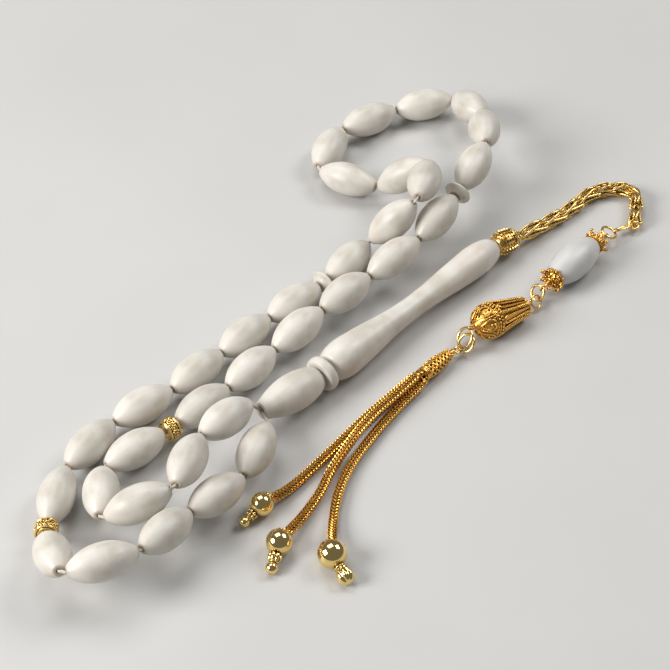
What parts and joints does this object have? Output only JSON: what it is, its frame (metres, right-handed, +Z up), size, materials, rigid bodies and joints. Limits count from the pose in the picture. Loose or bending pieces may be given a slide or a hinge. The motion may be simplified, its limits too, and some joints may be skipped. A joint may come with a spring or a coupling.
{
  "type": "misbaha prayer beads",
  "caption": "String of barley-shaped ivory-coloured prayer beads with marker discs, a long turned head-piece, and a gold chain and tassel with limp woven strands.",
  "frame": {"origin": "on the resting plane, under the middle of the box around the object without its three limp strands and their balls", "axes": "+Z up, the beads lying on z = 0; the loop runs from the -X -Y side to the +Y side, the tassel lies on the +X side"},
  "size_m": [0.1157, 0.1354, 0.0167],
  "materials": {
    "ivory": "satin",
    "gold": "polished",
    "foxtail_gold": "polished",
    "ball_gold": "polished",
    "cord": "matte"
  },
  "bodies": {
    "string": {"cord": "cord", "imame_cap": "gold"},
    "bead_01": {"bead_01": "ivory"},
    "bead_02": {"bead_02": "ivory"},
    "bead_03": {"bead_03": "ivory"},
    "bead_04": {"bead_04": "ivory"},
    "bead_05": {"bead_05": "ivory"},
    "bead_06": {"bead_06": "ivory"},
    "bead_07": {"bead_07": "ivory"},
    "bead_08": {"bead_08": "ivory"},
    "bead_09": {"bead_09": "ivory"},
    "bead_10": {"bead_10": "ivory"},
    "bead_11": {"bead_11": "ivory"},
    "bead_12": {"bead_12": "ivory"},
    "bead_13": {"bead_13": "ivory"},
    "bead_14": {"bead_14": "ivory"},
    "bead_15": {"bead_15": "ivory"},
    "bead_16": {"bead_16": "ivory"},
    "bead_17": {"bead_17": "ivory"},
    "bead_18": {"bead_18": "ivory"},
    "bead_19": {"bead_19": "ivory"},
    "bead_20": {"bead_20": "ivory"},
    "bead_21": {"bead_21": "ivory"},
    "bead_22": {"bead_22": "ivory"},
    "bead_23": {"bead_23": "ivory"},
    "bead_24": {"bead_24": "ivory"},
    "bead_25": {"bead_25": "ivory"},
    "bead_26": {"bead_26": "ivory"},
    "bead_27": {"bead_27": "ivory"},
    "bead_28": {"bead_28": "ivory"},
    "bead_29": {"bead_29": "ivory"},
    "bead_30": {"bead_30": "ivory"},
    "bead_31": {"bead_31": "ivory"},
    "bead_32": {"bead_32": "ivory"},
    "bead_33": {"bead_33": "ivory"},
    "marker_disc_1": {"marker_disc_1": "ivory"},
    "marker_disc_2": {"marker_disc_2": "ivory"},
    "gold_spacer_1": {"gold_spacer_1": "gold"},
    "gold_spacer_2": {"gold_spacer_2": "gold"},
    "collector_bead": {"collector_bead": "ivory"},
    "collar_disc": {"collar_disc": "ivory"},
    "imame": {"imame": "ivory"},
    "chain_1": {"chain_1": "gold"},
    "chain_2": {"chain_2": "gold"},
    "chain_3": {"chain_3": "gold"},
    "chain_4": {"chain_4": "gold"},
    "chain_ring": {"chain_ring": "gold"},
    "tassel_wire": {"tassel_cap_upper": "gold", "tassel_cap_lower": "gold"},
    "tassel_bead": {"tassel_bead": "ivory"},
    "link_ring": {"link_ring": "gold"},
    "lantern": {"lantern": "gold"},
    "lower_ring": {"lower_ring": "gold"},
    "tassel_terminal": {"tassel_terminal": "gold"},
    "strand_1": {"foxtail_1": "foxtail_gold", "ball_1": "ball_gold"},
    "strand_2": {"foxtail_2": "foxtail_gold", "ball_2": "ball_gold"},
    "strand_3": {"foxtail_3": "foxtail_gold", "ball_3": "ball_gold"}
  },
  "joints": [
    {"name": "chain_1_swing", "type": "hinge", "parent": "string", "child": "chain_1", "pos_m": [0.0331, 0.0238, 0.0025], "axis": [0, 0, 1], "range_deg": [0, 8]},
    {"name": "chain_2_swing", "type": "hinge", "parent": "chain_1", "child": "chain_2", "pos_m": [0.0416, 0.0309, 0.0016], "axis": [0, 0, 1], "range_deg": [0, 12]},
    {"name": "chain_3_swing", "type": "hinge", "parent": "chain_2", "child": "chain_3", "pos_m": [0.0494, 0.0379, 0.0016], "axis": [0, 0, 1], "range_deg": [0, 15]},
    {"name": "chain_4_swing", "type": "hinge", "parent": "chain_3", "child": "chain_4", "pos_m": [0.0565, 0.0375, 0.0016], "axis": [0, 0, 1], "range_deg": [0, 20]},
    {"name": "chain_ring_swing", "type": "hinge", "parent": "chain_4", "child": "chain_ring", "pos_m": [0.0557, 0.0275, 0.0017], "axis": [0, 0, 1], "range_deg": [0, 15]},
    {"name": "tassel_lift", "type": "hinge", "parent": "chain_ring", "child": "tassel_wire", "pos_m": [0.0491, 0.02265, 0.0026], "axis": [-0.7469, 0.6649, 0], "range_deg": [0, 45]},
    {"name": "link_ring_swing", "type": "hinge", "parent": "tassel_wire", "child": "link_ring", "pos_m": [0.035, 0.0078, 0.0029], "axis": [0, 0, 1], "range_deg": [0, 15]},
    {"name": "lantern_lift", "type": "hinge", "parent": "link_ring", "child": "lantern", "pos_m": [0.03275, 0.00415, 0.0022], "axis": [-0.5744, 0.8186, 0], "range_deg": [0, 25]},
    {"name": "lower_ring_swing", "type": "hinge", "parent": "lantern", "child": "lower_ring", "pos_m": [0.0209, -0.00445, 0.004], "axis": [0, 0, 1], "range_deg": [0, 15]},
    {"name": "terminal_lift", "type": "hinge", "parent": "lower_ring", "child": "tassel_terminal", "pos_m": [0.01765, -0.00785, 0.002], "axis": [-0.7262, 0.6875, 0], "range_deg": [0, 25]},
    {"name": "strand_1_swing", "type": "hinge", "parent": "tassel_terminal", "child": "strand_1", "pos_m": [0.0101, -0.0158, 0.002], "axis": [0, 0, 1], "range_deg": [-1.5, 1.5]},
    {"name": "strand_2_lift", "type": "hinge", "parent": "tassel_terminal", "child": "strand_2", "pos_m": [0.0101, -0.0158, 0.0026], "axis": [-0.8393, 0.5436, 0], "range_deg": [0, 20]},
    {"name": "strand_3_swing", "type": "hinge", "parent": "tassel_terminal", "child": "strand_3", "pos_m": [0.0101, -0.0158, 0.002], "axis": [0, 0, 1], "range_deg": [0, 20]},
    {"name": "marker_disc_1_spin", "type": "hinge", "parent": "string", "child": "marker_disc_1", "pos_m": [-0.00743, 0.00863, 0.00345], "axis": [0.6847, 0.7287, 0.009], "continuous": true},
    {"name": "marker_disc_2_spin", "type": "hinge", "parent": "string", "child": "marker_disc_2", "pos_m": [0.01948, 0.02855, 0.00949], "axis": [-0.5062, -0.8509, -0.1401], "continuous": true},
    {"name": "gold_spacer_1_spin", "type": "hinge", "parent": "string", "child": "gold_spacer_1", "pos_m": [-0.05542, -0.05299, 0.00369], "axis": [-0.0767, 0.9754, -0.2068], "continuous": true},
    {"name": "gold_spacer_2_spin", "type": "hinge", "parent": "string", "child": "gold_spacer_2", "pos_m": [-0.03529, -0.02919, 0.0034], "axis": [-0.745, -0.6671, -0.0011], "continuous": true},
    {"name": "collector_bead_spin", "type": "hinge", "parent": "string", "child": "collector_bead", "pos_m": [-0.0187, -0.0266, 0.0053], "axis": [0.7242, 0.6812, -0.1076], "continuous": true},
    {"name": "collar_disc_spin", "type": "hinge", "parent": "string", "child": "collar_disc", "pos_m": [-0.0075, -0.0159, 0.00387], "axis": [0.675, 0.7364, 0.046], "continuous": true},
    {"name": "imame_spin", "type": "hinge", "parent": "string", "child": "imame", "pos_m": [-0.0064, -0.0147, 0.00395], "axis": [0.6986, 0.7154, -0.0116], "continuous": true},
    {"name": "tassel_bead_spin", "type": "hinge", "parent": "tassel_wire", "child": "tassel_bead", "pos_m": [0.0423, 0.015, 0.00355], "axis": [-0.6649, -0.7469, 0], "continuous": true},
    {"name": "bead_01_spin", "type": "hinge", "parent": "string", "child": "bead_01", "pos_m": [-0.01936, -0.03558, 0.00492], "axis": [-0.3156, -0.9488, -0.0122], "continuous": true},
    {"name": "bead_02_spin", "type": "hinge", "parent": "string", "child": "bead_02", "pos_m": [-0.026, -0.0466, 0.00565], "axis": [-0.6876, -0.7157, 0.1227], "continuous": true},
    {"name": "bead_03_spin", "type": "hinge", "parent": "string", "child": "bead_03", "pos_m": [-0.03419, -0.05635, 0.0078], "axis": [-0.577, -0.7893, 0.2099], "continuous": true},
    {"name": "bead_04_spin", "type": "hinge", "parent": "string", "child": "bead_04", "pos_m": [-0.04427, -0.06406, 0.00931], "axis": [-0.9312, -0.3641, 0.0149], "continuous": true},
    {"name": "bead_05_spin", "type": "hinge", "parent": "string", "child": "bead_05", "pos_m": [-0.05334, -0.0603, 0.00656], "axis": [-0.2975, 0.8729, -0.3866], "continuous": true},
    {"name": "bead_06_spin", "type": "hinge", "parent": "string", "child": "bead_06", "pos_m": [-0.05447, -0.04491, 0.00338], "axis": [0.1646, 0.9864, 0.004], "continuous": true},
    {"name": "bead_07_spin", "type": "hinge", "parent": "string", "child": "bead_07", "pos_m": [-0.04962, -0.03295, 0.0034], "axis": [0.5684, 0.8228, -0.0002], "continuous": true},
    {"name": "bead_08_spin", "type": "hinge", "parent": "string", "child": "bead_08", "pos_m": [-0.04072, -0.02357, 0.0034], "axis": [0.792, 0.6105, 0], "continuous": true},
    {"name": "bead_09_spin", "type": "hinge", "parent": "string", "child": "bead_09", "pos_m": [-0.03117, -0.01488, 0.0034], "axis": [0.6824, 0.7309, 0], "continuous": true},
    {"name": "bead_10_spin", "type": "hinge", "parent": "string", "child": "bead_10", "pos_m": [-0.02242, -0.00554, 0.0034], "axis": [0.6848, 0.7288, -0.0001], "continuous": true},
    {"name": "bead_11_spin", "type": "hinge", "parent": "string", "child": "bead_11", "pos_m": [-0.01316, 0.00341, 0.00342], "axis": [0.7508, 0.6605, 0.0026], "continuous": true},
    {"name": "bead_12_spin", "type": "hinge", "parent": "string", "child": "bead_12", "pos_m": [-0.00257, 0.01466, 0.00355], "axis": [0.6154, 0.7881, 0.0151], "continuous": true},
    {"name": "bead_13_spin", "type": "hinge", "parent": "string", "child": "bead_13", "pos_m": [0.00627, 0.02051, 0.00894], "axis": [0.6506, 0.0513, 0.7577], "continuous": true},
    {"name": "bead_14_spin", "type": "hinge", "parent": "string", "child": "bead_14", "pos_m": [0.01266, 0.02787, 0.01335], "axis": [0.2303, 0.9614, -0.1505], "continuous": true},
    {"name": "bead_15_spin", "type": "hinge", "parent": "string", "child": "bead_15", "pos_m": [0.0088, 0.0359, 0.00764], "axis": [-0.7603, 0.1405, -0.6343], "continuous": true},
    {"name": "bead_16_spin", "type": "hinge", "parent": "string", "child": "bead_16", "pos_m": [-0.00249, 0.03964, 0.00337], "axis": [-0.9104, 0.4137, 0.0036], "continuous": true},
    {"name": "bead_17_spin", "type": "hinge", "parent": "string", "child": "bead_17", "pos_m": [-0.00635, 0.04942, 0.0034], "axis": [0.3815, 0.9244, -0.0001], "continuous": true},
    {"name": "bead_18_spin", "type": "hinge", "parent": "string", "child": "bead_18", "pos_m": [0.00213, 0.05886, 0.0034], "axis": [0.8782, 0.4783, 0], "continuous": true},
    {"name": "bead_19_spin", "type": "hinge", "parent": "string", "child": "bead_19", "pos_m": [0.01401, 0.06394, 0.00338], "axis": [0.9526, 0.3041, -0.0024], "continuous": true},
    {"name": "bead_20_spin", "type": "hinge", "parent": "string", "child": "bead_20", "pos_m": [0.02352, 0.05993, 0.00609], "axis": [0.3567, -0.8557, 0.375], "continuous": true},
    {"name": "bead_21_spin", "type": "hinge", "parent": "string", "child": "bead_21", "pos_m": [0.02584, 0.04785, 0.01003], "axis": [-0.0051, -0.975, 0.2222], "continuous": true},
    {"name": "bead_22_spin", "type": "hinge", "parent": "string", "child": "bead_22", "pos_m": [0.02292, 0.0354, 0.01057], "axis": [-0.4323, -0.8907, -0.1408], "continuous": true},
    {"name": "bead_23_spin", "type": "hinge", "parent": "string", "child": "bead_23", "pos_m": [0.0151, 0.02226, 0.00841], "axis": [-0.5773, -0.8047, -0.1385], "continuous": true},
    {"name": "bead_24_spin", "type": "hinge", "parent": "string", "child": "bead_24", "pos_m": [0.00635, 0.01298, 0.00626], "axis": [-0.7635, -0.6171, -0.1904], "continuous": true},
    {"name": "bead_25_spin", "type": "hinge", "parent": "string", "child": "bead_25", "pos_m": [-0.00322, 0.00437, 0.005], "axis": [-0.7078, -0.7064, -0.0033], "continuous": true},
    {"name": "bead_26_spin", "type": "hinge", "parent": "string", "child": "bead_26", "pos_m": [-0.01231, -0.00473, 0.0042], "axis": [-0.7003, -0.7035, -0.121], "continuous": true},
    {"name": "bead_27_spin", "type": "hinge", "parent": "string", "child": "bead_27", "pos_m": [-0.02104, -0.01419, 0.00341], "axis": [-0.65, -0.7599, -0.0014], "continuous": true},
    {"name": "bead_28_spin", "type": "hinge", "parent": "string", "child": "bead_28", "pos_m": [-0.02973, -0.02367, 0.0034], "axis": [-0.7011, -0.7131, 0.0001], "continuous": true},
    {"name": "bead_29_spin", "type": "hinge", "parent": "string", "child": "bead_29", "pos_m": [-0.04138, -0.03412, 0.00338], "axis": [-0.7846, -0.62, -0.0022], "continuous": true},
    {"name": "bead_30_spin", "type": "hinge", "parent": "string", "child": "bead_30", "pos_m": [-0.04648, -0.04516, 0.00458], "axis": [0.0443, -0.9836, 0.1751], "continuous": true},
    {"name": "bead_31_spin", "type": "hinge", "parent": "string", "child": "bead_31", "pos_m": [-0.03933, -0.05079, 0.00839], "axis": [0.9135, 0.2294, 0.336], "continuous": true},
    {"name": "bead_32_spin", "type": "hinge", "parent": "string", "child": "bead_32", "pos_m": [-0.03102, -0.04251, 0.01015], "axis": [0.2779, 0.957, -0.0834], "continuous": true},
    {"name": "bead_33_spin", "type": "hinge", "parent": "string", "child": "bead_33", "pos_m": [-0.02483, -0.0313, 0.00859], "axis": [0.6571, 0.7379, -0.1539], "continuous": true}
  ]
}
